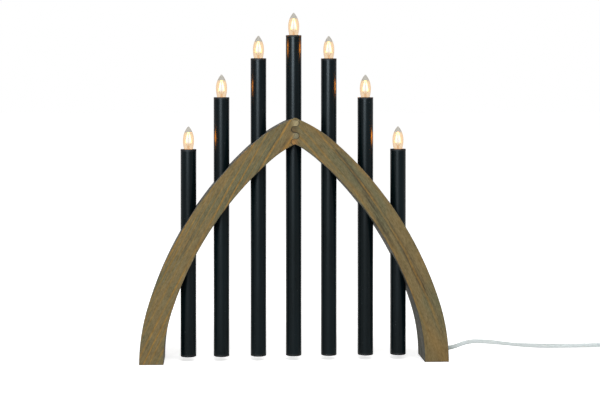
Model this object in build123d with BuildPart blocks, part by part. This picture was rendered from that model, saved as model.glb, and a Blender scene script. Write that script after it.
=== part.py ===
from build123d import *
import os
from math import acos, atan2, cos, dist, pi, radians, sin, sqrt, tan

# A candle arch: two curved wooden arms joined at the apex, seven black tubes standing through them,
# each with a lampholder and a candle bulb, and a flat lead from the right arm.
# Millimetres. X runs to the right, the front looks along -Y, Z is up and the floor is Z = 0.

os.makedirs("parts", exist_ok=True)

# The arms: in the front view each outer edge is three arcs, from the foot up to the middle
arch_width = 390
arch_depth = 52
arm_width = 30.5
foot_radius = 249
foot_sweep = 18
side_radius = 455
side_sweep = 30.5
crown_radius = 175
edge_break = 0.7

# The finger joint at the apex
finger_count = 4
finger_reach = 5
gable_share = 0.25
lowest_share = 0.15
glue_line = 0.15

# The candles, from the middle one outwards
candle_offsets = (0, 45, 92, 134)
candle_tops = (413.5, 384, 334.5, 268.5)
tube_diameter = 20
tube_wall = 1
tube_floor_gap = 5.6
hole_clearance = 0.15
spigot_clearance = 0.15
rim_round = 0.5

# The end plugs that close the tubes
plug_flange = 2.5
plug_spigot = 8

# The lampholders
flange_height = 2.5
mouth_diameter = 12.4
bulb_clearance = 0.3
shell_wall = 0.3
shell_length = 10.5
shell_clearance = 0.05
contact_gap = 0.3
contact_thickness = 0.8
contact_diameter = 6
contact_stem = 1.6
contact_tail = 2
floor_thickness = 2.4
skirt_depth = 4
skirt_wall = 2

# The screw caps of the bulbs
cap_diameter = 9.4
cap_recess = 1
cap_length = 15.5
cap_thread = 10
cap_wall = 0.25
cap_cone = 3
cap_tip_diameter = 3
insulator_diameter = 5.2

# The glass of the bulbs
glass_wall = 0.6
neck_clearance = 0.15
neck_depth = 6
base_diameter = 11.1
base_height = 0.2
belly_diameter = 14
belly_height = 11.5
bulb_height = 28.9
tip_diameter = 1.2

# The stem and the filament inside the glass
stem_diameter = 2.8
stem_height = 4.3
stem_foot = 6
stem_foot_height = 1.5
lead_in_wire = 0.5
lead_in_spacing = 1.4
lead_in_depth = 1.4
support_wire = 0.4
filament_diameter = 0.7
filament_spread = 3.2
filament_bottom = 8
filament_apex = 23.5
filament_bend = 0.7
filament_gap = 0.05

# The wiring in the channel at the back of the arms
harness_diameter = 4
harness_gap = 0.3
channel_clearance = 0.3
channel_bite = 1
strip_thickness = 6
strip_clearance = 0.1
channel_overrun = 12
lamp_lead_diameter = 2.4
lamp_lead_bend = 5
lead_hole_clearance = 0.6

# The lead where it leaves the right arm
cable_width = 5.2
cable_clearance = 0.2
exit_height = 8.5
corner_share = 0.45
bushing_diameter = 9
bushing_length = 10
bushing_recess = 0.6
bushing_clearance = 0.1

# The put-away coil: a spiral in, a half turn that climbs, and a spiral out on top of it
coil_centre_x = 452
coil_centre_y = 9.8
coil_inner_radius = 20.8
coil_pitch = 5.7
turns_in = 3.25
turns_out = 3.75
climb_turns = 0.5
tie_thickness = 1
tie_width = 8
tie_clearance = 0.3

# The plug: a flat body with two round pins
plug_width = 35
plug_rear_width = 18
plug_thickness = 14
plug_length = 36
plug_shoulder = 24
plug_corner = 3
relief_length = 20
relief_diameter = 10
relief_tip = 7.4
pin_diameter = 4
pin_length = 19
pin_round = 0.8
pin_spacing = 18.6

# Places worked out from the sizes above
half_width = arch_width / 2
half_depth = arch_depth / 2
tube_radius = tube_diameter / 2
spigot_radius = tube_radius - tube_wall - spigot_clearance
crown_start = foot_sweep + side_sweep
foot_centre = (half_width - foot_radius, 0)
side_centre = (
    foot_centre[0] + (foot_radius - side_radius) * cos(radians(foot_sweep)),
    foot_centre[1] + (foot_radius - side_radius) * sin(radians(foot_sweep)),
)
crown_centre = (
    side_centre[0] + (side_radius - crown_radius) * cos(radians(crown_start)),
    side_centre[1] + (side_radius - crown_radius) * sin(radians(crown_start)),
)
arm_arcs = (
    (foot_centre, foot_radius, 0, foot_sweep),
    (side_centre, side_radius, foot_sweep, crown_start),
    (crown_centre, crown_radius, crown_start, 90),
)
middle_inset = arm_width / 2

candle_x = [-x for x in candle_offsets[:0:-1]] + list(candle_offsets)
candle_z = list(candle_tops[:0:-1]) + list(candle_tops)
candles = list(zip(range(1, len(candle_x) + 1), candle_x, candle_z))


def arm_height(x, inset):
    # The height of the arm's curve, inset from its outer edge, at a distance from the middle
    for centre, radius, start, end in arm_arcs:
        if x >= centre[0] + (radius - inset) * cos(radians(end)):
            return centre[1] + (radius - inset) * sin(acos((x - centre[0]) / (radius - inset)))


def apex_height(inset):
    return arm_height(0, inset)


def arm_edge(inset, side):
    # One curve of an arm, from the foot to past the middle plane; side is 1 on the right, -1 on the left
    arcs = []
    for centre, radius, start, end in arm_arcs:
        middle = (side * centre[0], centre[1])
        first_angle = start if side > 0 else 180 - start
        arcs.append(CenterArc(middle, radius - inset, first_angle, side * (end - start)))
    return arcs


def arm_band(first_inset, last_inset, side, bottom=0):
    # The band between two curves of an arm, cut off at the middle plane and level at the bottom
    above = apex_height(0)
    with BuildSketch() as face:
        with BuildLine():
            outer = arm_edge(first_inset, side)
            inner = arm_edge(last_inset, side)
            Line(outer[0] @ 0, inner[0] @ 0)
            Line(outer[-1] @ 1, inner[-1] @ 1)
        make_face()
        with Locations((side * arch_width / 2, bottom + above)):
            Rectangle(arch_width, 2 * above, mode=Mode.INTERSECT)
    return face.sketch


def channel_face(width, bottom, side):
    return arm_band(middle_inset - width / 2, middle_inset + width / 2, side, bottom)


def candle_plane(x, z):
    # An upright plane through a candle's axis, with its own zero at the given height
    return Plane(origin=(x, 0, z), x_dir=(1, 0, 0), z_dir=(0, -1, 0))


def candle_axis(x):
    return Axis((x, 0, 0), (0, 0, 1))


def finish(builder, name):
    builder.part.label = name
    export_step(builder.part, f"parts/{name}.step")


# The two arms, cut from one arch along the finger joint
finger_pitch = (apex_height(0) - apex_height(arm_width)) / (finger_count + gable_share)
finger_round = min(finger_pitch / 2, finger_reach)
finger_lines = [apex_height(arm_width) + (k - lowest_share) * finger_pitch for k in range(finger_count)]
finger_flat = finger_reach - finger_round
seam_margin = 2 * arm_width


def seam_region(side):
    # Everything to the right of the joint: its fingers point left and right in turn, the top one right.
    # For the right arm it draws back from the left one by the glue line
    below = -seam_margin
    above = apex_height(0) + seam_margin
    beside = half_width + seam_margin
    with BuildSketch() as region:
        with BuildLine():
            point = Line((0, below), (0, finger_lines[0])) @ 1
            for k, (low, high) in enumerate(zip(finger_lines, finger_lines[1:])):
                way = -1 if (finger_count - k) % 2 == 0 else 1
                turn = Line(point, (way * finger_flat, low)) @ 1
                round_end = ((way * finger_reach, (low + high) / 2), (way * finger_flat, high))
                point = ThreePointArc(turn, *round_end) @ 1
            turn = Line(point, (finger_flat, finger_lines[-1])) @ 1
            corner = RadiusArc(turn, (finger_reach, finger_lines[-1] + finger_round), -finger_round) @ 1
            Polyline(corner, (finger_reach, above), (beside, above), (beside, below), (0, below))
        make_face()
        if side > 0:
            offset(amount=-glue_line, mode=Mode.REPLACE)
    return region.sketch


harness_y = tube_radius + harness_gap + harness_diameter / 2
channel_width = harness_diameter + 2 * channel_clearance
channel_depth = half_depth - tube_radius + channel_bite
outermost = candle_offsets[-1]
channel_bottom = {
    -1: arm_height(outermost, middle_inset) - channel_overrun,
    1: exit_height - harness_diameter,
}
harness_x = half_width - middle_inset

for name, side in (("left_arm", -1), ("right_arm", 1)):
    with BuildPart() as arm:
        with BuildSketch(Plane.XZ):
            add(arm_band(0, arm_width, 1))
            add(arm_band(0, arm_width, -1))
            add(seam_region(side), mode=Mode.INTERSECT if side > 0 else Mode.SUBTRACT)
        extrude(amount=half_depth, both=True)
        rims = arm.faces().filter_by(Axis.Y).edges()
        chamfer(rims.filter_by(lambda edge: abs(edge.center().X) > finger_reach + glue_line), edge_break)
        with BuildSketch():
            with Locations(*[(x, 0) for x in candle_x]):
                Circle(tube_radius + hole_clearance)
        extrude(amount=2 * apex_height(0), mode=Mode.SUBTRACT)
        with BuildSketch(Plane.XZ.offset(-half_depth)):
            for half in channel_bottom:
                add(channel_face(channel_width, channel_bottom[half], half))
        extrude(amount=channel_depth, mode=Mode.SUBTRACT)
        if side > 0:
            with BuildSketch(Plane(origin=(half_width, harness_y, exit_height), z_dir=(1, 0, 0))):
                Circle(bushing_diameter / 2 + bushing_clearance)
            extrude(amount=-bushing_length - bushing_recess, mode=Mode.SUBTRACT)
            with BuildSketch(Plane(origin=(half_width, harness_y, exit_height), z_dir=(1, 0, 0))):
                Circle(cable_width / 2 + cable_clearance)
            extrude(amount=-middle_inset, mode=Mode.SUBTRACT)
    finish(arm, name)

# The strips that close the wire channel, flush with the back of the arms
for name, side in (("channel_strip_left", -1), ("channel_strip_right", 1)):
    with BuildPart() as strip:
        with BuildSketch(Plane.XZ.offset(-half_depth)):
            strip_width = channel_width - 2 * strip_clearance
            add(channel_face(strip_width, channel_bottom[side] + strip_clearance, side))
        extrude(amount=strip_thickness)
    finish(strip, name)

# The wiring along the channel, mitred at the apex
wiring_halves = []
for side in (1, -1):
    with BuildPart() as half:
        with BuildLine(Plane.XZ.offset(-harness_y)) as run:
            arm_edge(middle_inset, side)
        with BuildSketch(Plane(origin=run.wire() @ 0, z_dir=run.wire() % 0)):
            Circle(harness_diameter / 2)
        sweep(path=run.wire())
        split(bisect_by=Plane.YZ, keep=Keep.TOP if side > 0 else Keep.BOTTOM)
        split(bisect_by=Plane.XY.offset(channel_bottom[side] + channel_clearance), keep=Keep.TOP)
    wiring_halves.append(half.part)
with BuildPart() as wiring:
    add(wiring_halves)
finish(wiring, "wiring")

# The bushing that guides the lead into the right arm
with BuildPart() as bushing:
    with BuildSketch(Plane(origin=(half_width - bushing_recess, harness_y, exit_height), z_dir=(1, 0, 0))):
        Circle(bushing_diameter / 2)
        Circle(cable_width / 2 + cable_clearance, mode=Mode.SUBTRACT)
    extrude(amount=-bushing_length)
finish(bushing, "cord_bushing")

# The tubes, between their end plugs and the flanges of the lampholders
tube_bottom = tube_floor_gap + plug_flange
for number, x, top in candles:
    wire_height = arm_height(abs(x), middle_inset)
    with BuildPart() as tube:
        with BuildSketch(Plane.XY.offset(tube_bottom)):
            with Locations((x, 0)):
                Circle(tube_radius)
                Circle(tube_radius - tube_wall, mode=Mode.SUBTRACT)
        extrude(amount=top - flange_height - tube_bottom)
        with BuildSketch(Plane.XZ.offset(-tube_diameter)):
            with Locations((x, wire_height)):
                Circle(lamp_lead_diameter / 2 + lead_hole_clearance)
        extrude(amount=tube_diameter, mode=Mode.SUBTRACT)
    finish(tube, f"tube_{number}")

# The end plugs
with BuildPart() as end_plugs:
    for number, x, top in candles:
        with BuildSketch(candle_plane(x, tube_floor_gap)):
            with BuildLine():
                Polyline((0, 0), (tube_radius, 0), (tube_radius, plug_flange),
                         (spigot_radius, plug_flange), (spigot_radius, plug_flange + plug_spigot),
                         (0, plug_flange + plug_spigot), close=True)
            lower_rim = make_face().vertices().sort_by(Axis.Y)[:2].sort_by(Axis.X)[-1]
            fillet(lower_rim, rim_round)
        revolve(axis=candle_axis(x))
finish(end_plugs, "end_plugs")

# The lampholders: heights count down from the flange's upper face
cap_radius = cap_diameter / 2
shell_inner = cap_radius + bulb_clearance
socket_radius = shell_inner + shell_wall + shell_clearance
contact_top = cap_recess + cap_length + contact_gap
floor_top = contact_top + contact_thickness
floor_bottom = floor_top + floor_thickness
holder_length = floor_bottom + skirt_depth
skirt_inner = spigot_radius - skirt_wall
stem_hole = contact_stem / 2 + shell_clearance
contact_end = floor_bottom + contact_tail
for number, x, top in candles:
    with BuildPart() as lampholder:
        with BuildSketch(candle_plane(x, top)):
            with BuildLine():
                Polyline((mouth_diameter / 2, 0), (tube_radius, 0), (tube_radius, -flange_height),
                         (spigot_radius, -flange_height), (spigot_radius, -holder_length),
                         (skirt_inner, -holder_length), (skirt_inner, -floor_bottom),
                         (stem_hole, -floor_bottom), (stem_hole, -floor_top), (socket_radius, -floor_top),
                         (socket_radius, -flange_height), (mouth_diameter / 2, -flange_height), close=True)
            upper_rim = make_face().vertices().sort_by(Axis.Y)[-2:].sort_by(Axis.X)[-1]
            fillet(upper_rim, rim_round)
        revolve(axis=candle_axis(x))
    finish(lampholder, f"lampholder_{number}")

# The screw shells and the centre contacts inside the lampholders
with BuildPart() as socket_shells:
    for number, x, top in candles:
        with BuildSketch(Plane.XY.offset(top - flange_height)):
            with Locations((x, 0)):
                Circle(shell_inner + shell_wall)
                Circle(shell_inner, mode=Mode.SUBTRACT)
        extrude(amount=-shell_length)
finish(socket_shells, "socket_shells")

with BuildPart() as centre_contacts:
    for number, x, top in candles:
        with BuildSketch(Plane.XY.offset(top - contact_top)):
            with Locations((x, 0)):
                Circle(contact_diameter / 2)
        extrude(amount=-contact_thickness)
        with BuildSketch(Plane.XY.offset(top - floor_top)):
            with Locations((x, 0)):
                Circle(contact_stem / 2)
        extrude(amount=floor_top - contact_end)
finish(centre_contacts, "centre_contacts")

# The leads from the wiring through the back of each tube and up to its lampholder
with BuildPart() as lamp_leads:
    for number, x, top in candles:
        wire_height = arm_height(abs(x), middle_inset)
        with BuildLine(Plane.YZ.offset(x)) as run:
            FilletPolyline((tube_radius, wire_height), (0, wire_height), (0, top - contact_end),
                           radius=lamp_lead_bend)
        with BuildSketch(Plane(origin=run.wire() @ 0, z_dir=run.wire() % 0)):
            Circle(lamp_lead_diameter / 2)
        sweep(path=run.wire())
finish(lamp_leads, "lamp_leads")

# The bulbs: screw cap, glass, stem and filament
def bulge_radius(length, rise):
    # The radius of an arc that is level at one end and falls by the rise over the length
    return (length**2 + rise**2) / (2 * rise)


neck_radius = cap_radius - cap_wall - neck_clearance
base_radius = base_diameter / 2
belly_radius = belly_diameter / 2
tip_radius = tip_diameter / 2
lower_arc = bulge_radius(belly_height - base_height, belly_radius - base_radius)
upper_arc = bulge_radius(bulb_height - belly_height, belly_radius - tip_radius)
filament_slant = atan2(filament_spread, filament_apex - filament_bottom)
filament_top = filament_apex - filament_bend * (1 / sin(filament_slant) - 1)


def glass_face(inset):
    # Half of the bulb's outline, inset from the outside: neck, flare, two arcs and a blunt tip
    base = base_radius - inset
    belly = belly_radius - inset
    lower = lower_arc - inset
    upper = upper_arc - inset
    tip = tip_radius - inset / 2
    base_z = belly_height - sqrt(lower**2 - (lower - belly + base) ** 2)
    tip_z = belly_height + sqrt(upper**2 - (upper - belly + tip) ** 2)
    neck_end = inset - neck_depth - cap_recess
    with BuildSketch() as face:
        with BuildLine():
            neck = Polyline((0, neck_end), (neck_radius - inset, neck_end),
                            (neck_radius - inset, -cap_recess), (base, base_z))
            shoulder = RadiusArc(neck @ 1, (belly, belly_height), -lower)
            crown = RadiusArc(shoulder @ 1, (tip, tip_z), -upper)
            Polyline(crown @ 1, (0, tip_z), (0, neck_end))
        make_face()
    return face.sketch


for number, x, top in candles:
    with BuildPart() as bulb_cap:
        with BuildSketch(candle_plane(x, top - cap_recess)):
            with BuildLine():
                Polyline((cap_radius - cap_wall, 0), (cap_radius, 0), (cap_radius, -cap_thread),
                         (insulator_diameter / 2, -cap_thread - cap_cone),
                         (cap_tip_diameter / 2, -cap_thread - cap_cone), (cap_tip_diameter / 2, -cap_length),
                         (0, -cap_length), (0, cap_wall - cap_thread),
                         (cap_radius - cap_wall, cap_wall - cap_thread), close=True)
            make_face()
        revolve(axis=candle_axis(x))
    finish(bulb_cap, f"bulb_cap_{number}")

    with BuildPart() as bulb_glass:
        with BuildSketch(candle_plane(x, top)):
            add(glass_face(0))
        revolve(axis=candle_axis(x))
        with BuildSketch(candle_plane(x, top)):
            add(glass_face(glass_wall))
        revolve(axis=candle_axis(x), mode=Mode.SUBTRACT)
    finish(bulb_glass, f"bulb_glass_{number}")

    stem_bottom = glass_wall - neck_depth - cap_recess
    with BuildPart() as bulb_stem:
        with BuildSketch(candle_plane(x, top)):
            with BuildLine():
                Polyline((0, stem_bottom), (stem_foot / 2, stem_bottom),
                         (stem_diameter / 2, stem_bottom + stem_foot_height),
                         (stem_diameter / 2, stem_height), (0, stem_height), close=True)
            make_face()
        revolve(axis=candle_axis(x))
        wire_top = filament_bottom - filament_diameter / 2 - filament_gap
        for way in (-1, 1):
            with BuildLine(candle_plane(x, top)) as wire:
                wire_foot = (way * lead_in_spacing / 2, stem_height - lead_in_depth)
                Line(wire_foot, (way * filament_spread, wire_top))
            with BuildSketch(Plane(origin=wire.line @ 0, z_dir=wire.line % 0)):
                Circle(lead_in_wire / 2)
            sweep(path=wire.line)
        with BuildSketch(Plane.XY.offset(top + stem_height)):
            with Locations((x, 0)):
                Circle(support_wire / 2)
        extrude(amount=filament_top - filament_diameter / 2 - filament_gap - stem_height)
    finish(bulb_stem, f"bulb_stem_{number}")

    with BuildPart() as filament:
        with BuildLine(candle_plane(x, top)) as run:
            FilletPolyline((-filament_spread, filament_bottom), (0, filament_apex),
                           (filament_spread, filament_bottom), radius=filament_bend)
        with BuildSketch(Plane(origin=run.wire() @ 0, z_dir=run.wire() % 0)):
            Circle(filament_diameter / 2)
        sweep(path=run.wire())
    finish(filament, f"filament_{number}")

# The lead: out of the arm in a low hump, down to the floor and away to the right
cable_radius = cable_width / 2
coil_low = tie_thickness + 2 * tie_clearance + cable_radius
coil_high = coil_low + coil_pitch
coil_start = coil_inner_radius + turns_in * coil_pitch
coil_end = coil_inner_radius + turns_out * coil_pitch
lead_start = harness_x + harness_diameter / 2 + harness_gap
coil_entry = (coil_centre_x - cable_width, coil_centre_y + coil_start, coil_low)
coil_exit = (coil_centre_x + cable_width, coil_centre_y + coil_end, coil_high)
plug_axis = plug_thickness / 2
plug_entry = (524, -8, plug_axis)
cord_route = [
    (lead_start, harness_y, exit_height),
    (203, harness_y, exit_height),
    (229, 19, 17.5),
    (262, 29, 13.8),
    (300, 42, 6.6),
    (342, 54, cable_radius),
    (384, 53.2, cable_radius),
    (424, coil_entry[1], coil_entry[2]),
    coil_entry,
]
tail_route = [
    coil_exit,
    (475, coil_exit[1], coil_exit[2]),
    (500, 47.5, 8.4),
    (517, 32, 7.2),
    (524, 10, plug_axis),
    plug_entry,
]


def corner_radii(route):
    # Each corner's arc is as large as its two runs allow
    radii = []
    for before, corner, after in zip(route, route[1:], route[2:]):
        turn = (Vector(*corner) - Vector(*before)).get_angle(Vector(*after) - Vector(*corner))
        shorter = min(dist(before, corner), dist(corner, after))
        radii.append(corner_share * shorter / tan(radians(turn / 2)))
    return radii


def report_tube(name, solid, length):
    share = solid.volume / (pi * cable_radius**2 * length)
    print(name, "length", round(length, 1), "volume over section times length", round(share, 4))


for name, route in (("cord", cord_route), ("cord_tail", tail_route)):
    radii = corner_radii(route)
    print(name, "radii", [round(r, 1) for r in radii])
    with BuildPart() as lead:
        with BuildLine() as run:
            FilletPolyline(*route, radius=radii)
        with BuildSketch(Plane(origin=run.wire() @ 0, z_dir=run.wire() % 0)):
            Circle(cable_radius)
        sweep(path=run.wire())
    report_tube(name, lead.part, run.wire().length)
    finish(lead, name)

# The coil: points and directions every quarter turn, joined by pairs of tangent arcs
coil_turns = turns_in + turns_out


def coil_point(turn):
    # The radius shrinks and grows at a steady rate, and the height climbs round the reversal
    radius = coil_inner_radius + coil_pitch * abs(turn - turns_in)
    climb = min(max((turn - turns_in) / climb_turns + 0.5, 0), 1)
    angle = pi / 2 - 2 * pi * turn
    return Vector(
        coil_centre_x + radius * cos(angle),
        coil_centre_y + radius * sin(angle),
        coil_low + coil_pitch * climb**2 * (3 - 2 * climb),
    )


def coil_direction(turn):
    step = 0.001
    square = Vector(sin(pi / 2 - 2 * pi * turn), -cos(pi / 2 - 2 * pi * turn), 0)
    if turn in (0, coil_turns):
        return square
    return (coil_point(turn + step) - coil_point(turn - step)).normalized()


def tangent_arcs(first, first_way, last, last_way):
    # Two arcs that leave along the first direction, arrive along the last and join smoothly
    chord = last - first
    both = first_way + last_way
    spare = 2 * (1 - first_way.dot(last_way))
    reach = (sqrt(chord.dot(both) ** 2 + spare * chord.dot(chord)) - chord.dot(both)) / spare
    middle = (first + last + (first_way - last_way) * reach) / 2
    TangentArc(first, middle, tangent=first_way)
    TangentArc(middle, last, tangent=-last_way, tangent_from_first=False)


coil_quarters = [k / 4 for k in range(int(4 * coil_turns) + 1)]
with BuildPart() as cord_coil:
    with BuildLine() as run:
        Line(coil_entry, coil_point(0))
        for turn, following in zip(coil_quarters, coil_quarters[1:]):
            start_way = coil_direction(turn)
            end_way = coil_direction(following)
            tangent_arcs(coil_point(turn), start_way, coil_point(following), end_way)
        Line(coil_point(coil_turns), coil_exit)
    with BuildSketch(Plane(origin=coil_entry, z_dir=(1, 0, 0))):
        Circle(cable_radius)
    sweep(path=run.wire())
report_tube("cord_coil", cord_coil.part, run.wire().length)
finish(cord_coil, "cord_coil")

samples = int(run.wire().length)
along = [run.wire() @ (k / samples) for k in range(samples + 1)]
apart = [
    (along[i] - along[j]).length
    for i in range(0, samples, 3)
    for j in range(i + int(pi * coil_inner_radius), samples + 1)
]
print("cord_coil least gap to itself", round(min(apart) - cable_width, 2))

# The tie round the coil, on the side towards the front
coil_outer = max(coil_start, coil_end) - coil_pitch / 2 + cable_radius
coil_hole = sqrt((coil_inner_radius - cable_radius) ** 2 - (tie_width / 2) ** 2)
tie_y = coil_centre_y - (coil_outer + coil_hole) / 2
tie_z = (coil_low + coil_high) / 2
tie_inner_width = coil_outer - coil_hole + 2 * tie_clearance
tie_inner_height = coil_pitch + cable_width + 2 * tie_clearance
with BuildPart() as coil_tie:
    with BuildSketch(Plane(origin=(coil_centre_x, tie_y, tie_z), x_dir=(0, 1, 0), z_dir=(1, 0, 0))):
        RectangleRounded(tie_inner_width, tie_inner_height, tie_thickness)
        offset(amount=tie_thickness)
        RectangleRounded(tie_inner_width, tie_inner_height, tie_thickness, mode=Mode.SUBTRACT)
    extrude(amount=tie_width / 2, both=True)
finish(coil_tie, "coil_tie")

# The plug: its body widens towards the pins, with a tapered relief round the lead
body_start = plug_entry[1] - relief_length
pin_face = body_start - plug_length
with BuildPart() as plug_body:
    with BuildSketch(Plane(origin=(plug_entry[0], 0, 0))):
        with BuildLine():
            Polyline((plug_rear_width / 2, body_start), (plug_width / 2, body_start - plug_shoulder),
                     (plug_width / 2, pin_face), (-plug_width / 2, pin_face),
                     (-plug_width / 2, body_start - plug_shoulder), (-plug_rear_width / 2, body_start),
                     close=True)
        make_face()
    extrude(amount=plug_thickness)
    fillet(plug_body.edges().filter_by(Axis.Z), plug_corner)
    fillet(plug_body.faces().filter_by(Axis.Z).edges(), plug_corner)
    with BuildSketch(Plane(origin=(plug_entry[0], plug_entry[1], plug_axis), z_dir=(0, -1, 0))):
        Circle(relief_tip / 2)
    with BuildSketch(Plane(origin=(plug_entry[0], body_start, plug_axis), z_dir=(0, -1, 0))):
        Circle(relief_diameter / 2)
    loft()
finish(plug_body, "plug_body")

with BuildPart() as plug_pins:
    with BuildSketch(Plane(origin=(plug_entry[0], pin_face, plug_axis), x_dir=(1, 0, 0), z_dir=(0, -1, 0))):
        with GridLocations(pin_spacing, 0, 2, 1):
            Circle(pin_diameter / 2)
    extrude(amount=pin_length)
    tips = plug_pins.faces().sort_by(Axis.Y)[:2].edges()
    fillet(tips, pin_round)
finish(plug_pins, "plug_pins")
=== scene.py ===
import math
import bmesh
import bpy
import numpy as np
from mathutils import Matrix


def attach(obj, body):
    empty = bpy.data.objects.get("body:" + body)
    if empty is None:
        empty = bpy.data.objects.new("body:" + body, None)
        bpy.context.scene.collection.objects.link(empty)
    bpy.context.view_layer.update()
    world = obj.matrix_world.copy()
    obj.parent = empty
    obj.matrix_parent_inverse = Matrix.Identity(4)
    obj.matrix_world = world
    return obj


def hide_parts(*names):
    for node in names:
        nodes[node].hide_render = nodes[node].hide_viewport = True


# Candle arch in stained wood: seven black tubes with lit candle bulbs, and a flat white lead
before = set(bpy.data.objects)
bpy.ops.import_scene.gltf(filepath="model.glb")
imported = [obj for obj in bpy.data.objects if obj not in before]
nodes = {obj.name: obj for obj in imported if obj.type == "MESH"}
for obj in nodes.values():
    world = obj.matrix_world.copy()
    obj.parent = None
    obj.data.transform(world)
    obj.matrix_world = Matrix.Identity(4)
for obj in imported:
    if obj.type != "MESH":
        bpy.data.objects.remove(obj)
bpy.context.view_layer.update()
scene = bpy.context.scene
scene.view_settings.view_transform = "Standard"
mm = 0.001
lampNumbers = range(1, 8)
black = (0, 0, 0, 1)
white = (1, 1, 1, 1)


def colour(red, green, blue):  # screen values from 0 to 255, turned into linear light
    screen = np.array([red, green, blue]) / 255
    linear = np.where(screen > 0.04045, ((screen + 0.055) / 1.055) ** 2.4, screen / 12.92)
    return (*linear.tolist(), 1.0)


def unit(vectors):  # each row made one long
    return vectors / np.linalg.norm(vectors, axis=1, keepdims=True)


def gridFaces(rings, sides):
    # quads between neighbouring rings, each of which is closed
    ring, side = np.meshgrid(np.arange(rings - 1), np.arange(sides), indexing="ij")
    nextSide = (side + 1) % sides
    near = ring * sides
    far = near + sides
    return np.stack([near + side, near + nextSide, far + nextSide, far + side], -1).reshape(-1, 4)


def meshPiece(name, points, faces, smooth=True):
    mesh = bpy.data.meshes.new(name)
    mesh.from_pydata(points.reshape(-1, 3).tolist(), [], faces)
    mesh.polygons.foreach_set("use_smooth", np.full(len(mesh.polygons), smooth))
    mesh.validate()
    piece = bpy.data.objects.new(name, mesh)
    scene.collection.objects.link(piece)
    return piece


# Camera at the photograph's height and angle
cameraSpec = dict(
    place=(-0.1021, -1.5246, 0.3295), turn=-2.871, lens=71.8, sensor=36, shiftX=0.0440, shiftY=-0.1648,
)
cameraData = bpy.data.cameras.new("camera")
cameraData.lens = cameraSpec["lens"]
cameraData.sensor_width = cameraSpec["sensor"]
cameraData.shift_x = cameraSpec["shiftX"]
cameraData.shift_y = cameraSpec["shiftY"]
camera = bpy.data.objects.new("camera", cameraData)
camera.location = cameraSpec["place"]
camera.rotation_euler = (math.radians(90), 0, math.radians(cameraSpec["turn"]))
scene.collection.objects.link(camera)
scene.camera = camera
print("camera done")

# Flat lead, in millimetres: its route from the arm, then the put-away coil, then the tail to the plug
cordSpec = dict(
    lead=[(182.05, 12.3, 8.5), (203, 12.3, 8.5), (229, 19, 17.5), (262, 29, 13.8), (300, 42, 6.6),
          (342, 54, 2.6), (384, 53.2, 2.6), (424, 49.125, 4.2), (446.8, 49.125, 4.2)],
    tail=[(457.2, 51.975, 9.9), (475, 51.975, 9.9), (500, 47.5, 8.4), (517, 32, 7.2), (524, 10, 7),
          (524, -8, 7)],
    coilCentre=(452, 9.8), coilRadius=20.8, coilPitch=5.7, coilLow=4.2,
    turnsIn=3.25, turnsOut=3.75, climbTurns=0.5, pointsPerTurn=20,
    width=5.2, thickness=3.2, sides=20, squareness=0.62, exit=(194.4, 12.3, 8.5),
    length=1.746,  # in metres
    # how far the broad side is turned from lying flat, in degrees, at distances along the lead
    roll=[(0, 55), (28, 60), (50, 82), (70, 80), (96, 30), (115, 22), (150, 62), (185, 75), (230, 84),
          (260, 90), (1640, 90), (1670, 70), (1710, 10), (1760, 0)],
)


def coilPoints(spec):
    # plan radius falls and grows again by one pitch a turn while the angle runs clockwise, and the height
    # eases from the lower layer to the upper one over half a turn, where the spiral reverses
    turns = spec["turnsIn"] + spec["turnsOut"]
    turn = np.linspace(0, turns, int(turns * spec["pointsPerTurn"]) + 1)
    radius = spec["coilRadius"] + spec["coilPitch"] * np.abs(turn - spec["turnsIn"])
    climb = np.clip((turn - spec["turnsIn"]) / spec["climbTurns"] + 0.5, 0, 1)
    angle = np.pi / 2 - 2 * np.pi * turn
    height = spec["coilLow"] + spec["coilPitch"] * climb**2 * (3 - 2 * climb)
    centreX, centreY = spec["coilCentre"]
    return np.stack([centreX + radius * np.cos(angle), centreY + radius * np.sin(angle), height], 1)


def splinePoints(control, name):
    # points along a smooth spline that has the route as its control points
    curve = bpy.data.curves.new(name, "CURVE")
    curve.dimensions = "3D"
    spline = curve.splines.new("NURBS")
    spline.points.add(len(control) - 1)
    spline.points.foreach_set("co", np.c_[control, np.ones(len(control))].ravel())
    spline.order_u = 3
    spline.use_endpoint_u = True
    spline.resolution_u = 8
    guide = bpy.data.objects.new(name, curve)
    scene.collection.objects.link(guide)
    bpy.context.view_layer.update()
    line = bpy.data.meshes.new_from_object(guide)
    points = np.zeros(len(line.vertices) * 3)
    line.vertices.foreach_get("co", points)
    bpy.data.objects.remove(guide)
    bpy.data.curves.remove(curve)
    bpy.data.meshes.remove(line)
    points = points.reshape(-1, 3)
    smallestStep = 1e-6  # closer points are doubles
    keep = np.r_[True, np.linalg.norm(np.diff(points, axis=0), axis=1) > smallestStep]
    return points[keep]


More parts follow.
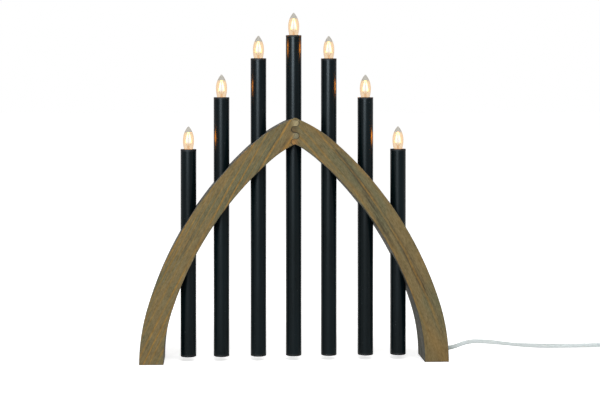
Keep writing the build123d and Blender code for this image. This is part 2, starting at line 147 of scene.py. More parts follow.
def flatLead(spec):
    # a rounded flat section carried along the spline, its broad side turned about the line by the roll angle
    control = np.vstack([spec["lead"], coilPoints(spec), spec["tail"]]) * mm
    path = splinePoints(control, "lead_route")
    travelled = np.r_[0, np.cumsum(np.linalg.norm(np.diff(path, axis=0), axis=1))] / mm
    along = unit(np.gradient(path, axis=0))
    sideways = unit(np.cross([0, 0, 1.0], along))
    upright = np.cross(along, sideways)
    roll = np.radians(np.interp(travelled, *np.array(spec["roll"]).T))[:, None]
    broad = sideways * np.cos(roll) + upright * np.sin(roll)
    thin = upright * np.cos(roll) - sideways * np.sin(roll)
    turn = np.arange(spec["sides"]) * 2 * np.pi / spec["sides"]

    def swollen(wave, size):  # a power under 1 swells the ellipse towards a rounded rectangle
        return (np.sign(wave) * np.abs(wave) ** spec["squareness"] * size / 2 * mm)[:, None]

    across = swollen(np.cos(turn), spec["width"])
    through = swollen(np.sin(turn), spec["thickness"])
    rings = path[:, None] + across * broad[:, None] + through * thin[:, None]
    endFace = np.arange(spec["sides"])
    lastRing = (len(path) - 1) * spec["sides"]
    faces = gridFaces(len(path), spec["sides"]).tolist()
    faces += [endFace[::-1].tolist(), (endFace + lastRing).tolist()]
    lead = meshPiece("flat_lead", rings, faces)
    around = np.tile(turn / (2 * np.pi), len(path))
    distance = np.repeat(travelled * mm, spec["sides"])
    lead.data.attributes.new("around", "FLOAT", "POINT").data.foreach_set("value", around)
    lead.data.attributes.new("distance", "FLOAT", "POINT").data.foreach_set("value", distance)
    return lead, path


flatCable, cablePath = flatLead(cordSpec)
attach(flatCable, "arch")
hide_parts("cord", "cord_coil", "cord_tail")
print("lead done", len(cablePath), "rings")


class Shade:
    # a node socket that takes part in arithmetic
    def __init__(self, tree, socket=None):
        self.tree = tree
        self.socket = socket

    def node(self, kind, inputs=(), out=0, **settings):
        # any node: its settings first, then the values or links of its sockets
        made = self.tree.nodes.new("ShaderNode" + kind)
        for name, value in settings.items():
            setattr(made, name, value)
        for key, value in dict(inputs).items():
            if isinstance(value, Shade):
                self.tree.links.new(value.socket, made.inputs[key])
            else:
                made.inputs[key].default_value = value
        return Shade(self.tree, made.outputs[out])

    def outputs(self, *names):  # named outputs of the same node
        return [Shade(self.tree, self.socket.node.outputs[name]) for name in names]

    def calc(self, operation, first, second=0.0):
        return self.node("Math", {0: first, 1: second}, operation=operation)

    def __add__(self, other):
        return self.calc("ADD", self, other)

    def __sub__(self, other):
        return self.calc("SUBTRACT", self, other)

    def __rsub__(self, other):
        return self.calc("SUBTRACT", other, self)

    def __mul__(self, other):
        return self.calc("MULTIPLY", self, other)

    def __truediv__(self, other):
        return self.calc("DIVIDE", self, other)

    def __pow__(self, other):
        return self.calc("POWER", self, other)

    def __abs__(self):
        return self.calc("ABSOLUTE", self)

    __radd__ = __add__
    __rmul__ = __mul__

    def ease(self, low, high):  # 0 below the low value, 1 above the high one, smooth between
        return self.node("MapRange", {0: self, 1: low, 2: high}, interpolation_type="SMOOTHSTEP")

    def mix(self, first, second):  # colours, by this value
        return self.node("Mix", {0: self, 6: first, 7: second}, out=2, data_type="RGBA")

    def place(self):  # Object coordinates
        return self.node("TexCoord", out="Object")

    def axes(self, vector):  # its three values
        return self.node("SeparateXYZ", {0: vector}).outputs("X", "Y", "Z")

    def stretch(self, vector, scale):
        return self.node("Mapping", {"Vector": vector, "Scale": scale})

    def noise(self, vector, scale=1.0, detail=2.0, roughness=0.5):
        inputs = {"Vector": vector, "Scale": scale, "Detail": detail, "Roughness": roughness}
        return self.node("TexNoise", inputs)

    def bump(self, height, distance, strength):
        return self.node("Bump", {"Height": height, "Distance": distance, "Strength": strength})


def startFinish(name, **settings):
    # a material with one Principled shader; plain numbers go straight onto its sockets
    material = bpy.data.materials.new(name)
    material.use_nodes = True
    material.cycles.emission_sampling = "NONE"
    shader = material.node_tree.nodes["Principled BSDF"]
    for socket, value in settings.items():
        shader.inputs[socket.replace("_", " ")].default_value = value
    return material, Shade(material.node_tree), shader


def feed(shade, shader, **links):
    for socket, value in links.items():
        shade.tree.links.new(value.socket, shader.inputs[socket.replace("_", " ")])


def dress(material, *pieces):  # nodes by name, or new pieces
    for piece in pieces:
        data = nodes[piece].data if isinstance(piece, str) else piece.data
        data.materials.clear()
        data.materials.append(material)


# Stained wood: thin yellow-brown grain lines on olive brown, with painted shade that makes the sawn edges
# greyer and darker
woodSpec = dict(
    base=colour(118, 102, 68), green=colour(102, 97, 70), warm=colour(126, 99, 57), line=colour(150, 113, 52),
    shadow=colour(82, 71, 48), streak=colour(66, 62, 49), pit=colour(48, 41, 30), edge=colour(102, 102, 95),
    edgeDark=colour(66, 67, 64), specular=0.05, roughness=0.7, fibreRoughness=0.25, lineSheen=0.1,
    # how strongly each stain, and the painted shade on the sawn edges, covers what is under it
    warmCover=0.7, bandCover=0.8, shadowCover=0.35, pitCover=0.6, edgeCover=0.9,
    # how much each noise lightens and darkens the stain, and how far each stands up
    fibreContrast=0.6, fleckContrast=1.2, mottleContrast=0.6,
    fibreRelief=0.6, lineRelief=0.4, pitRelief=1.2, bump=0.0002, bumpStrength=0.6,
    # how the strength of lines varies, then where a line and its late wood lie, in shares of their spacing
    chanceRise=(0.1, 0.8), leastFade=0.4,
    lineWidth=(0.03, 0.2), lateStart=(-0.05, 0.0), lateEnd=(-0.05, 0.45),
    # in metres: top of the plain foot, half the arm's depth, and how far in from it the edge begins
    footTop=(0.02, 0.075), halfDepth=0.026, edgeInset=(0.0006, 0.0001),
    bandCore=0.2, edgeStreaks=(14, 170, 14), edgeRise=(0.35, 0.68),
)
# noises drawn out along the grain: scale along it, through the depth and across it, and where a mask rises
grainNoise = dict(
    uneven=dict(scale=(1.2, 3, 42)),
    wander=dict(scale=(16, 6, 20)),
    fade=dict(scale=(22, 8, 60), rise=(0.3, 0.6)),
    fibre=dict(scale=(70, 300, 1700), detail=3.0, roughness=0.6),
    flecks=dict(scale=(230, 200, 800), detail=3.0, roughness=0.6),
    mottle=dict(scale=(90, 60, 170), detail=4.0, roughness=0.65),
    green=dict(scale=(16, 16, 46), detail=3.0, roughness=0.6, rise=(0.42, 0.66)),
    warm=dict(scale=(8, 8, 26), rise=(0.5, 0.72)),
    streak=dict(scale=(7, 8, 110), detail=4.0, roughness=0.65, rise=(0.54, 0.74)),
    band=dict(scale=(14, 8, 150), detail=3.0, roughness=0.6, rise=(0.3, 0.6)),
    pit=dict(scale=(40, 60, 190), rise=(0.73, 0.79)),
)
# angle of the grain above the floor in degrees, how it bows, the space between its lines in metres, how the
# lines crowd together outwards from the core, and the middle and reach of a dark band across the grain
leftGrain = dict(
    angle=61, bow=0.12, middle=0.1, core=0.15, spacing=0.0115, crowd=950, uneven=0.8, wander=0.3, seed=3.7,
    faintest=0.6, strength=0.75, streaks=0.5, band=None, plainFoot=0.0,
)
rightGrain = dict(
    angle=-57, bow=0.7, middle=-0.0994, core=0, spacing=0.0105, crowd=0, uneven=1.1, wander=0.6, seed=11.3,
    faintest=0.15, strength=0.6, streaks=0.8, band=(0.1945, 0.0045), plainFoot=0.8,
)
# round finger ends at the joint, in metres, and for each the side it reaches to, its height and its tint
fingerSpec = dict(
    radius=0.0039, middle=0.0011, rim=(0.85, 1.1), rootFade=(-0.006, 0.001), cover=0.8,
    glue=colour(62, 54, 40), glueWidth=(0.0001, 0.0006), glueStart=(-0.004, -0.001), glueCover=0.7,
)
leftFingers = [(1, 0.3017, colour(156, 144, 110)), (1, 0.2860, colour(118, 115, 93))]
rightFingers = [(-1, 0.29385, colour(90, 76, 52)), (-1, 0.27815, colour(150, 110, 62))]


def ringMasks(shade, grain, across, drawn):
    # a line stands where the count of lines outwards from the core, shifted unevenly by noise, is half way
    # between whole numbers; each has a strength of its own, and late wood darkens one side of it
    spec = woodSpec
    fromCore = across - grain["core"]
    uneven = (drawn("uneven") - 0.5) * (2 * grain["uneven"])
    wander = (drawn("wander") - 0.5) * grain["wander"]
    count = fromCore / grain["spacing"] + fromCore ** 2 * grain["crowd"] + uneven + wander
    whole = shade.calc("FLOOR", count)
    offset = count - whole - 0.5
    chance = shade.node("TexWhiteNoise", {"W": whole + grain["seed"]}, noise_dimensions="1D")
    strength = chance.ease(*spec["chanceRise"]) * (1 - grain["faintest"]) + grain["faintest"]
    strength = strength * (drawn("fade") * (1 - spec["leastFade"]) + spec["leastFade"])
    line = 1 - abs(offset).ease(*spec["lineWidth"])
    late = (1 - offset.ease(*spec["lateEnd"])) * offset.ease(*spec["lateStart"])
    return line * strength, late * strength


def fingerJoint(shade, tint, x, z, fingers):
    # each finger of this arm has a tint that fades towards its root, and glue lines run round all finger ends
    spec = fingerSpec
    rimStart, rimEnd = [spec["radius"] * share for share in spec["rim"]]
    for side, height, fingerTint in fingers:
        tongue = (1 - abs(z - height).ease(rimStart, rimEnd)) * (x * side).ease(*spec["rootFade"])
        tint = (tongue * spec["cover"]).mix(tint, fingerTint)
    for side, height, _ in leftFingers + rightFingers:
        outward = x * side - spec["middle"]
        reach = (shade.calc("MAXIMUM", outward, 0.0) ** 2 + (z - height) ** 2) ** 0.5
        glueLine = 1 - abs(reach - spec["radius"]).ease(*spec["glueWidth"])
        glueLine = glueLine * outward.ease(*spec["glueStart"])
        tint = (glueLine * spec["glueCover"]).mix(tint, spec["glue"])
    return tint


def stainedWood(name, grain, fingers=()):
    # along runs with the grain, and across is square to it, bowed by the square of the distance along it
    spec = woodSpec
    material, shade, shader = startFinish(name, Specular_IOR_Level=spec["specular"])
    vector = shade.place()
    x, y, z = shade.axes(vector)
    cosine = math.cos(math.radians(grain["angle"]))
    sine = math.sin(math.radians(grain["angle"]))
    along = x * cosine + z * sine
    across = z * cosine - x * sine + (along - grain["middle"]) ** 2 * grain["bow"]

    def drawn(layer):
        look = dict(grainNoise[layer])
        lengthScale, depthScale, acrossScale = look.pop("scale")
        rise = look.pop("rise", None)
        stretched = {0: along * lengthScale + grain["seed"], 1: y * depthScale, 2: across * acrossScale}
        cloud = shade.noise(shade.node("CombineXYZ", stretched), **look)
        return cloud.ease(*rise) if rise else cloud

    plain = 1 - (1 - z.ease(*spec["footTop"])) * grain["plainFoot"]
    ringLine, lateWood = [mask * plain for mask in ringMasks(shade, grain, across, drawn)]
    fibre = drawn("fibre")
    pit = drawn("pit")
    tint = (drawn("green") * plain).mix(spec["base"], spec["green"])
    tint = (drawn("warm") * spec["warmCover"]).mix(tint, spec["warm"])
    tint = (drawn("streak") * plain * grain["streaks"]).mix(tint, spec["streak"])
    if grain["band"]:
        middle, reach = grain["band"]
        band = (1 - abs(across - middle).ease(reach * spec["bandCore"], reach)) * drawn("band")
        tint = (band * plain * spec["bandCover"]).mix(tint, spec["streak"])
    tint = (lateWood * spec["shadowCover"]).mix(tint, spec["shadow"])
    tint = (ringLine * grain["strength"]).mix(tint, spec["line"])
    tint = (pit * spec["pitCover"]).mix(tint, spec["pit"])
    tint = fingerJoint(shade, tint, x, z, fingers)
    # painted shade: the sawn side faces are painted greyer and darker than the front, in streaks
    edgeStart, edgeEnd = [spec["halfDepth"] - inset for inset in spec["edgeInset"]]
    onEdge = 1 - abs(y).ease(edgeStart, edgeEnd)
    edgeStreak = shade.noise(shade.stretch(vector, spec["edgeStreaks"]), detail=4.0, roughness=0.6)
    edgeTint = edgeStreak.ease(*spec["edgeRise"]).mix(spec["edgeDark"], spec["edge"])
    tint = (onEdge * spec["edgeCover"]).mix(tint, edgeTint)
    bright = (fibre - 0.5) * spec["fibreContrast"] + (drawn("flecks") - 0.5) * spec["fleckContrast"]
    bright = bright + (drawn("mottle") - 0.5) * spec["mottleContrast"] + 1.0
    gain = shade.node("CombineXYZ", {0: bright, 1: bright, 2: bright})
    relief = fibre * spec["fibreRelief"] + ringLine * spec["lineRelief"] - pit * spec["pitRelief"]
    roughness = (fibre - 0.5) * spec["fibreRoughness"] + spec["roughness"] - ringLine * spec["lineSheen"]
    feed(shade, shader, Base_Color=shade.node("VectorMath", {0: tint, 1: gain}, operation="MULTIPLY"),
         Roughness=roughness, Normal=shade.bump(relief, spec["bump"], spec["bumpStrength"]))
    return material


dress(stainedWood("stained_wood_left", leftGrain, leftFingers), "left_arm")
dress(stainedWood("stained_wood_right", rightGrain, rightFingers), "right_arm")
dress(stainedWood("stained_wood_strip", dict(leftGrain, seed=8.1)), "channel_strip_left")
dress(stainedWood("stained_wood_strip_right", dict(rightGrain, seed=5.2)), "channel_strip_right")
print("wood done")

# Satin black lacquer on the tubes: fine orange peel, faint clouding and a few specks of dust
tubeSpec = dict(
    tint=colour(2, 11, 14), cloud=colour(4, 16, 20), speck=colour(70, 74, 76), cloudScale=(60, 60, 9),
    cloudRise=(0.35, 0.7), dustScale=620.0, dustRise=(0.84, 0.86), dustCover=0.5, ior=1.18, roughness=0.225,
    cloudRoughness=0.12, dustRoughness=0.3, peelScale=1900.0, peel=0.00002, peelStrength=0.06,
)


def blackLacquer(name):
    spec = tubeSpec
    material, shade, shader = startFinish(name, IOR=spec["ior"], Specular_IOR_Level=0.5)
    vector = shade.place()
    cloud = shade.noise(shade.stretch(vector, spec["cloudScale"]), detail=3.0, roughness=0.6)
    peel = shade.noise(vector, spec["peelScale"])
    dust = shade.noise(vector, spec["dustScale"], detail=0.0).ease(*spec["dustRise"])
    tint = cloud.ease(*spec["cloudRise"]).mix(spec["tint"], spec["cloud"])
    tint = (dust * spec["dustCover"]).mix(tint, spec["speck"])
    roughness = cloud * spec["cloudRoughness"] + spec["roughness"] + dust * spec["dustRoughness"]
    feed(shade, shader, Base_Color=tint, Roughness=roughness,
         Normal=shade.bump(peel, spec["peel"], spec["peelStrength"]))
    return material


dress(blackLacquer("black_lacquer"), *[f"tube_{number}" for number in lampNumbers])

# Black mouldings: the lampholders, end plugs, bushing and tie
mouldSpec = dict(
    tint=colour(10, 11, 12), worn=colour(24, 25, 26), specular=0.15, roughness=0.5, grainRoughness=0.2,
    grainScale=2600.0, grain=0.00005, grainStrength=0.5, wornScale=90.0, wornRise=(0.5, 0.75), wornCover=0.6,
    wornSheen=0.1,
)


def blackMoulding(name):
    spec = mouldSpec
    material, shade, shader = startFinish(name, Specular_IOR_Level=spec["specular"])
    vector = shade.place()
    grainy = shade.noise(vector, spec["grainScale"])
    handled = shade.noise(vector, spec["wornScale"], detail=3.0, roughness=0.6).ease(*spec["wornRise"])
    roughness = grainy * spec["grainRoughness"] + spec["roughness"] - handled * spec["wornSheen"]
    feed(shade, shader, Base_Color=(handled * spec["wornCover"]).mix(spec["tint"], spec["worn"]),
         Roughness=roughness, Normal=shade.bump(grainy, spec["grain"], spec["grainStrength"]))
    return material


dress(blackMoulding("black_moulding"), "end_plugs", "cord_bushing", "coil_tie",
      *[f"lampholder_{number}" for number in lampNumbers])

# Plated caps and spun brass, with faint cloudy tarnish and fine turning marks along Z
metalSpec = dict(
    tarnishRise=(0.4, 0.75), tarnishRoughness=0.2, marks=(150, 150, 6000), markDepth=0.00002,
    markStrength=0.4,
)
nickelSpec = dict(
    metalSpec, bright=colour(122, 118, 110), dull=colour(84, 80, 74), roughness=0.38, clouds=400.0,
)
brassSpec = dict(
    metalSpec, bright=colour(214, 176, 92), dull=colour(160, 124, 60), roughness=0.22, clouds=350.0,
)


def turnedMetal(name, spec):
    material, shade, shader = startFinish(name, Metallic=1.0)
    vector = shade.place()
    tarnish = shade.noise(vector, spec["clouds"], detail=4.0, roughness=0.6)
    marks = shade.noise(shade.stretch(vector, spec["marks"]))
    feed(shade, shader, Base_Color=tarnish.ease(*spec["tarnishRise"]).mix(spec["bright"], spec["dull"]),
         Roughness=tarnish * spec["tarnishRoughness"] + spec["roughness"],
         Normal=shade.bump(marks, spec["markDepth"], spec["markStrength"]))
    return material


nickel = turnedMetal("nickel_plate", nickelSpec)
dress(turnedMetal("spun_brass", brassSpec), "socket_shells", "centre_contacts")

# White sheath of the inner wires, and of the flat lead with its faint length-wise drawing marks
sheathSpec = dict(
    tint=colour(206, 213, 213), shadow=colour(182, 190, 190), shadedExit=colour(128, 138, 134), specular=0.35,
    roughness=0.42, scuffRoughness=0.15, cloudScale=260.0, cloudRise=(0.3, 0.75), cloudCover=0.5,
    scuffRise=(0.55, 0.75), scuffCover=0.4, shadedExitEnd=(0.014, 0.036), shadedExitCover=0.8,
    # scale of the lead's marks and scuffs round it and along it, and of the marks on the wires
    leadMarks=(40.0, 9.0), leadScuffs=(9.0, 60.0), wireMarks=900.0, markDepth=0.00006, markStrength=0.5,
)


def whiteSheath(name, flat):
    spec = sheathSpec
    material, shade, shader = startFinish(name, Specular_IOR_Level=spec["specular"])
    vector = shade.place()
    cloud = shade.noise(vector, spec["cloudScale"], detail=3.0, roughness=0.6)
    if flat:
        around = shade.node("Attribute", out="Fac", attribute_name="around")
        distance = shade.node("Attribute", out="Fac", attribute_name="distance")

        def unrolled(roundScale, alongScale):  # the lead's surface laid out flat
            return shade.node("CombineXYZ", {0: around * roundScale, 1: distance * alongScale})

        marks = shade.noise(unrolled(*spec["leadMarks"]))
        scuff = shade.noise(unrolled(*spec["leadScuffs"]), detail=3.0, roughness=0.6)
    else:
        marks = shade.noise(vector, spec["wireMarks"])
        scuff = cloud
    scuff = scuff.ease(*spec["scuffRise"])
    shadow = cloud.ease(*spec["cloudRise"]) * spec["cloudCover"] + scuff * spec["scuffCover"]
    tint = shadow.mix(spec["tint"], spec["shadow"])
    if flat:  # painted shadow: darker where it leaves the arm
        tint = ((1 - distance.ease(*spec["shadedExitEnd"])) * spec["shadedExitCover"]).mix(tint, spec["shadedExit"])
    feed(shade, shader, Base_Color=tint, Roughness=scuff * spec["scuffRoughness"] + spec["roughness"],
         Normal=shade.bump(marks, spec["markDepth"], spec["markStrength"]))
    return material


dress(whiteSheath("flat_cable_sheath", True), flatCable)
dress(whiteSheath("wire_sheath", False), "wiring", "lamp_leads")

# The plug: a white moulding, and pins that are sleeved next to the body
plugSpec = dict(
    tint=colour(216, 220, 220), shaded=colour(198, 203, 203), specular=0.45, cloudScale=120.0,
    cloudRise=(0.35, 0.75), roughness=0.25, cloudRoughness=0.15, grainScale=2400.0, grain=0.00003,
    grainStrength=0.4,
)
pinSpec = dict(
    bright=colour(206, 202, 192), worn=colour(168, 162, 150), sleeve=colour(36, 36, 37),
    sleeveEnd=(-0.0736, -0.0734), wear=(900, 60, 900), roughness=0.2, wearRoughness=0.15,
    sleeveRoughness=0.25,
)


def plugMoulding(name):
    spec = plugSpec
    material, shade, shader = startFinish(name, Specular_IOR_Level=spec["specular"])
    vector = shade.place()
    cloud = shade.noise(vector, spec["cloudScale"], detail=3.0, roughness=0.6)
    grainy = shade.noise(vector, spec["grainScale"])
    feed(shade, shader, Base_Color=cloud.ease(*spec["cloudRise"]).mix(spec["tint"], spec["shaded"]),
         Roughness=cloud * spec["cloudRoughness"] + spec["roughness"],
         Normal=shade.bump(grainy, spec["grain"], spec["grainStrength"]))
    return material


def sleevedPins(name):
    spec = pinSpec
    material, shade, shader = startFinish(name)
    vector = shade.place()
    _, y, _ = shade.axes(vector)
    sleeved = y.ease(*spec["sleeveEnd"])
    wear = shade.noise(shade.stretch(vector, spec["wear"]), detail=3.0)
    roughness = wear * spec["wearRoughness"] + sleeved * spec["sleeveRoughness"] + spec["roughness"]
    feed(shade, shader, Base_Color=sleeved.mix(wear.mix(spec["bright"], spec["worn"]), spec["sleeve"]),
         Metallic=1 - sleeved, Roughness=roughness)
    return material


dress(plugMoulding("white_plug_moulding"), "plug_body")
dress(sleevedPins("sleeved_pins"), "plug_pins")
print("finishes done")

# Bulbs: each has a thin glass candle and a rolled screw cap; sizes in millimetres above the holder's rim
bulbSpec = dict(
    offsets=(-134, -92, -45, 0, 45, 92, 134), tops=(268.5, 334.5, 384, 413.5, 384, 334.5, 268.5),
    neckRadius=4.3, neckEnd=-7, neckTop=-1, neckBevel=0.5, baseRadius=5.55, baseHeight=0.2, bellyRadius=7,
    bellyHeight=11.5, height=28.9, tipRadius=0.6, pipHeight=0.45, wall=0.6, sides=48,
    lowerPoints=14, upperPoints=26, pipPoints=6,
)


def bulgeRadius(length, rise):
    # radius of an arc that is level at one end and falls by the rise over the length
    return (length**2 + rise**2) / (2 * rise)


def glassProfile(spec, inset):
    # radius and height from the middle of the neck's floor up to the tip: neck, flare, a long lower arc,
    # a shorter upper arc, and a small round pip; the inner wall is the same line moved in by the wall
    belly = spec["bellyRadius"]
    middle = spec["bellyHeight"]
    lower = bulgeRadius(middle - spec["baseHeight"], belly - spec["baseRadius"])
    upper = bulgeRadius(spec["height"] - middle, belly - spec["tipRadius"])
    rise = np.linspace(spec["baseHeight"], middle, spec["lowerPoints"])
    lowerArc = np.c_[belly - lower + np.sqrt(lower**2 - (middle - rise) ** 2), rise]
    share = np.sin(np.linspace(0, np.pi / 2, spec["upperPoints"]))[1:]
    rise = middle + (spec["height"] - spec["pipHeight"] - middle) * share
    upperArc = np.c_[belly - upper + np.sqrt(upper**2 - (rise - middle) ** 2), rise]
    endRadius, endHeight = upperArc[-1]
    swing = np.linspace(0, np.pi / 2, spec["pipPoints"])[1:]
    pip = np.c_[endRadius * np.cos(swing), endHeight + (spec["height"] - endHeight) * np.sin(swing)]
    neck = spec["neckRadius"]
    low = spec["neckEnd"]
    bevel = spec["neckBevel"]
    neckLine = np.array([(0, low), (neck - bevel, low), (neck, low + bevel), (neck, spec["neckTop"])])
    line = np.vstack([neckLine, lowerArc, upperArc, pip])
    if inset:
        way = unit(np.gradient(line, axis=0))
        line = line + np.c_[-way[:, 1], way[:, 0]] * inset
        line[:, 0] = np.maximum(line[:, 0], 0)
        line[[0, -1], 0] = 0
    return line


def revolved(line, x, top, sides):
    # a line of radius and height turned about the candle's axis
    turn = np.arange(sides) * 2 * np.pi / sides
    radius = line[:, :1]
    height = top + line[:, 1:] + 0 * turn
    return np.stack([x + radius * np.cos(turn), radius * np.sin(turn), height], -1)


def weldPiece(name, points, faces):
    # a grid whose poles are closed by merging their doubles
    piece = meshPiece(name, points, faces.tolist())
    work = bmesh.new()
    work.from_mesh(piece.data)
    bmesh.ops.remove_doubles(work, verts=work.verts, dist=1e-7)
    work.to_mesh(piece.data)
    work.free()
    return piece


def candleGlass(number, x, top, spec):
    # the outer and the inner line, each turned about the axis; the inner faces look inwards
    outer = revolved(glassProfile(spec, 0), x, top, spec["sides"]).reshape(-1, 3)
    inner = revolved(glassProfile(spec, spec["wall"]), x, top, spec["sides"]).reshape(-1, 3)
    faces = gridFaces(len(outer) // spec["sides"], spec["sides"])
    faces = np.vstack([faces, faces[:, ::-1] + len(outer)])
    return weldPiece(f"candle_glass_{number}", np.concatenate([outer, inner]) * mm, faces)


capSpec = dict(
    radius=4.7, depth=0.35, pitch=1.81, fade=0.9, rings=61, wall=0.25, recess=1, thread=10, cone=3,
    insulator=2.6, shank=1.6, tip=1.5, tipPoints=6, length=15.5, sides=40,
)


def screwCap(number, x, top, spec):
    # rolled thread: the wall's radius swings with height over pitch less the share of a turn, and fades at
    # both ends; below it a cone, a step and the round contact, and inside it a plain wall down to a floor
    height = np.linspace(0, -spec["thread"], spec["rings"])[:, None]
    turn = (np.arange(spec["sides"]) * 2 * np.pi / spec["sides"])[None]
    fade = np.clip(np.minimum(-height, height + spec["thread"]) / spec["fade"], 0, 1)
    wave = 0.5 - 0.5 * np.cos(2 * np.pi * (height / spec["pitch"] - turn / (2 * np.pi)))
    radius = spec["radius"] - spec["depth"] * wave * fade
    rim = top - spec["recess"]
    wall = np.stack([x + radius * np.cos(turn), radius * np.sin(turn), rim + height + 0 * turn], -1)
    coneEnd = -spec["thread"] - spec["cone"]
    shankEnd = coneEnd - spec["shank"]
    swing = np.linspace(0, np.pi / 2, spec["tipPoints"])[1:]
    contact = np.c_[spec["tip"] * np.cos(swing), shankEnd - (spec["length"] + shankEnd) * np.sin(swing)]
    step = [(spec["insulator"], coneEnd), (spec["tip"], coneEnd), (spec["tip"], shankEnd)]
    boreRadius = spec["radius"] - spec["wall"] - spec["depth"]
    boreEnd = spec["wall"] - spec["thread"]
    bore = np.array([(0, boreEnd), (boreRadius, boreEnd), (boreRadius, 0)])
    hollow, foot = [revolved(line, x, rim, spec["sides"]) for line in (bore, np.vstack([step, contact]))]
    points = np.concatenate([hollow, wall, foot])
    faces = gridFaces(len(points), spec["sides"])[:, ::-1]
    return weldPiece(f"screw_cap_{number}", points * mm, faces)


def overRim(shade, vector, top):  # millimetres above the rim of a lampholder
    _, _, z = shade.axes(vector)
    return (z - top * mm) / mm


# Clear glass that passes most light, with a painted warm glow round the filament, a painted grey glow towards
# the tip and a painted peach glow along its outline
glassSpec = dict(
    body=colour(4, 4, 3), bodyDark=colour(2, 2, 2), hot=colour(255, 252, 244), warm=colour(253, 215, 166),
    low=colour(238, 207, 168), paintedGreyGlow=colour(112, 114, 108), outline=colour(182, 138, 94),
    pane=(1.0, 0.985, 0.96, 1.0), strength=1.0, roughness=0.3, seedRoughness=0.1, seedScale=420.0,
    # how much light the glass stops everywhere, at the outline, in the glow and at the tip
    clear=0.06, rim=0.46, glow=0.32, tip=0.12,
    # heights in millimetres between which the glow comes and goes
    warmStart=(5.0, 8.5), warmEnd=(17.5, 20.5), hotStart=(6.0, 9.5), hotEnd=(15.5, 20.0),
    greyStart=(20.5, 22.5),
    # how far the glass turns away from the eye where the hot middle ends and the painted glow of the outline
    # begins
    hotTurn=(0.02, 0.2), rimPower=3.0, rimRise=(0.1, 0.8),
)


def glowingGlass(name, top):
    # the painted glow is strongest in the middle and stops below the tip's painted grey glow, and a painted
    # peach glow runs along the outline; a mix with a clear shader thins it
    spec = glassSpec
    material, shade, shader = startFinish(name, Emission_Strength=spec["strength"], Specular_IOR_Level=0.0)
    vector = shade.place()
    height = overRim(shade, vector, top)
    facing = shade.node("LayerWeight", {"Blend": 0.5}, out="Facing")
    rim = facing ** spec["rimPower"]
    lit = 1 - height.ease(*spec["greyStart"])
    belly = height.ease(*spec["warmStart"]) * (1 - height.ease(*spec["warmEnd"]))
    core = height.ease(*spec["hotStart"]) * (1 - height.ease(*spec["hotEnd"]))
    core = core * (1 - facing.ease(*spec["hotTurn"]))
    tint = lit.mix(spec["paintedGreyGlow"], belly.mix(spec["low"], spec["warm"]))
    tint = rim.ease(*spec["rimRise"]).mix(tint, spec["outline"])
    tint = core.mix(tint, spec["hot"])
    seeds = shade.noise(vector, spec["seedScale"])
    feed(shade, shader, Base_Color=seeds.mix(spec["body"], spec["bodyDark"]), Emission_Color=tint,
         Roughness=seeds * spec["seedRoughness"] + spec["roughness"])
    clear = shade.node("BsdfTransparent", {0: spec["pane"]})
    cover = rim * spec["rim"] + lit * spec["glow"] + (1 - lit) * spec["tip"] + spec["clear"]
    mixed = shade.node("MixShader", {0: cover, 1: clear, 2: Shade(shade.tree, shader.outputs[0])})
    shade.tree.links.new(mixed.socket, shade.tree.nodes["Material Output"].inputs[0])
    return material


# Pressed glass stem with a painted orange glow, and a dimmer painted glow on the wires above it
stemSpec = dict(
    glass=colour(222, 140, 62), glassPale=colour(240, 170, 92), wire=colour(120, 90, 50),
    wireStart=(4.2, 4.4), body=colour(16, 10, 5), bodyPale=colour(24, 16, 9), ripples=(900, 900, 200),
    strength=0.8, roughness=0.1, rippleRoughness=0.2,
)


def litStem(name, top):
    spec = stemSpec
    material, shade, shader = startFinish(name, Specular_IOR_Level=0.0, Emission_Strength=spec["strength"])
    vector = shade.place()
    wires = overRim(shade, vector, top).ease(*spec["wireStart"])
    ripple = shade.noise(shade.stretch(vector, spec["ripples"]))
    glass = ripple.mix(spec["glass"], spec["glassPale"])
    feed(shade, shader, Base_Color=ripple.mix(spec["body"], spec["bodyPale"]),
         Emission_Color=wires.mix(glass, spec["wire"]),
         Roughness=ripple * spec["rippleRoughness"] + spec["roughness"])
    return material


# The filament is so hot that it looks white
filamentSpec = dict(
    wire=colour(255, 220, 160), wirePale=colour(255, 240, 200), dim=colour(255, 122, 30),
    low=colour(255, 132, 34), high=colour(255, 150, 48), highStart=(7.5, 12.0), coils=(300, 300, 2600),
    coilRise=(0.2, 0.4), strength=70.0, roughness=0.5,
)


def hotFilament(name, top):
    spec = filamentSpec
    material, shade, shader = startFinish(
        name, Roughness=spec["roughness"], Emission_Strength=spec["strength"],
    )
    vector = shade.place()
    coil = shade.noise(shade.stretch(vector, spec["coils"]), detail=1.0)
    glow = overRim(shade, vector, top).ease(*spec["highStart"]).mix(spec["low"], spec["high"])
    feed(shade, shader, Base_Color=coil.mix(spec["wire"], spec["wirePale"]),
         Emission_Color=coil.ease(*spec["coilRise"]).mix(spec["dim"], glow))
    return material


def addLight(name, kind, spec, place):  # lights stay out of the camera's sight, and some light only gloss
    data = bpy.data.lights.new(name, kind)
    data.energy = spec["power"]
    data.color = spec["tint"]
    light = bpy.data.objects.new(name, data)
    scene.collection.objects.link(light)
    light.location = place
    light.visible_camera = False
    light.visible_diffuse = spec["diffuse"]
    return light


# The light of each bulb, which shows as orange glints on the tubes; the room's light drowns it on the wood
glintSpec = dict(height=14, radius=0.009, power=0.36, tint=(1.0, 0.3, 0.015), diffuse=False)

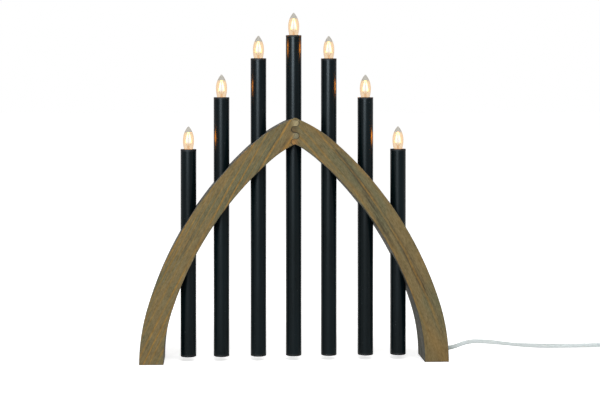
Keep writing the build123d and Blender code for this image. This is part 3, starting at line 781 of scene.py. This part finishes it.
for number, x, top in zip(lampNumbers, bulbSpec["offsets"], bulbSpec["tops"]):
    glass = candleGlass(number, x, top, bulbSpec)
    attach(glass, f"bulb_{number}")
    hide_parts(f"bulb_glass_{number}")
    dress(glowingGlass(f"candle_glass_{number}", top), glass)
    cap = screwCap(number, x, top, capSpec)
    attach(cap, f"bulb_{number}_cap")
    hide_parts(f"bulb_cap_{number}")
    dress(nickel, cap)
    dress(litStem(f"lit_stem_{number}", top), f"bulb_stem_{number}")
    dress(hotFilament(f"hot_filament_{number}", top), f"filament_{number}")
    glintPlace = (x * mm, 0, (top + glintSpec["height"]) * mm)
    glint = addLight(f"bulb_light_{number}", "POINT", glintSpec, glintPlace)
    glint.data.shadow_soft_size = glintSpec["radius"]
print("bulbs done")

# Pale floor and room that look white and keep the floor's shadow
stageSpec = dict(
    size=60.0, floor=colour(238, 238, 237), floorPale=colour(240, 240, 239), cloudScale=3.0, roughness=0.9,
    lift=0.6, worldLight=0.5,
)


def backdropRays(shade):
    # 1 for rays from the camera and those sent on by gloss and glass, 0 for the light that falls on things
    path = shade.node("LightPath")
    seen, glossy, through = path.outputs("Is Camera Ray", "Is Glossy Ray", "Is Transmission Ray")
    return shade.calc("MAXIMUM", shade.calc("MAXIMUM", seen, glossy), through)


def paleFloor(spec):
    half = spec["size"] / 2
    corners = np.array([(-half, -half, 0), (half, -half, 0), (half, half, 0), (-half, half, 0)])
    floor = meshPiece("floor", corners, [[0, 1, 2, 3]], smooth=False)
    material, shade, shader = startFinish(
        "pale_floor", Roughness=spec["roughness"], Specular_IOR_Level=0.0, Emission_Strength=spec["lift"],
    )
    cloud = shade.noise(shade.place(), spec["cloudScale"])
    feed(shade, shader, Base_Color=cloud.mix(spec["floor"], spec["floorPale"]),
         Emission_Color=backdropRays(shade).mix(black, white))
    dress(material, floor)


def paleRoom(spec):
    world = bpy.data.worlds.new("pale_room")
    scene.world = world
    world.use_nodes = True
    background = world.node_tree.nodes["Background"]
    background.inputs["Color"].default_value = white
    level = backdropRays(Shade(world.node_tree)) * (1 - spec["worldLight"]) + spec["worldLight"]
    world.node_tree.links.new(level.socket, background.inputs["Strength"])


paleFloor(stageSpec)
paleRoom(stageSpec)

# Soft daylight from above, a tall light at the left, and a card that shows only as the tubes' pale line
lampSpec = [
    dict(name="tall_left_light", place=(-0.75, -2.05, 1.0), aim=(0, 0, 0.5), size=(0.9, 1.6), spread=70,
         power=3.2, tint=(0.95, 0.98, 1.0), diffuse=True),
    dict(name="mirrored_card", place=(-0.62, -2.32, 0.98), aim=(0, 0, 0.98), size=(1.3, 0.9), spread=180,
         power=205.0, tint=(0.74, 0.9, 1.0), diffuse=False),
    dict(name="wide_top_light", place=(0.35, -1.0, 1.9), aim=(0, 0, 0.2), size=(1.6, 1.2), spread=140,
         power=13.0, tint=(1.0, 0.99, 0.97), diffuse=True),
]
for lamp in lampSpec:
    light = addLight(lamp["name"], "AREA", lamp, lamp["place"])
    light.data.shape = "RECTANGLE"
    light.data.size, light.data.size_y = lamp["size"]
    light.data.spread = math.radians(lamp["spread"])
    wayX, wayY, wayZ = np.array(lamp["aim"]) - np.array(lamp["place"])
    tilt = math.atan2(math.hypot(wayX, wayY), -wayZ)
    light.rotation_euler = (tilt, 0, math.atan2(wayY, wayX) - math.pi / 2)
print("stage done")
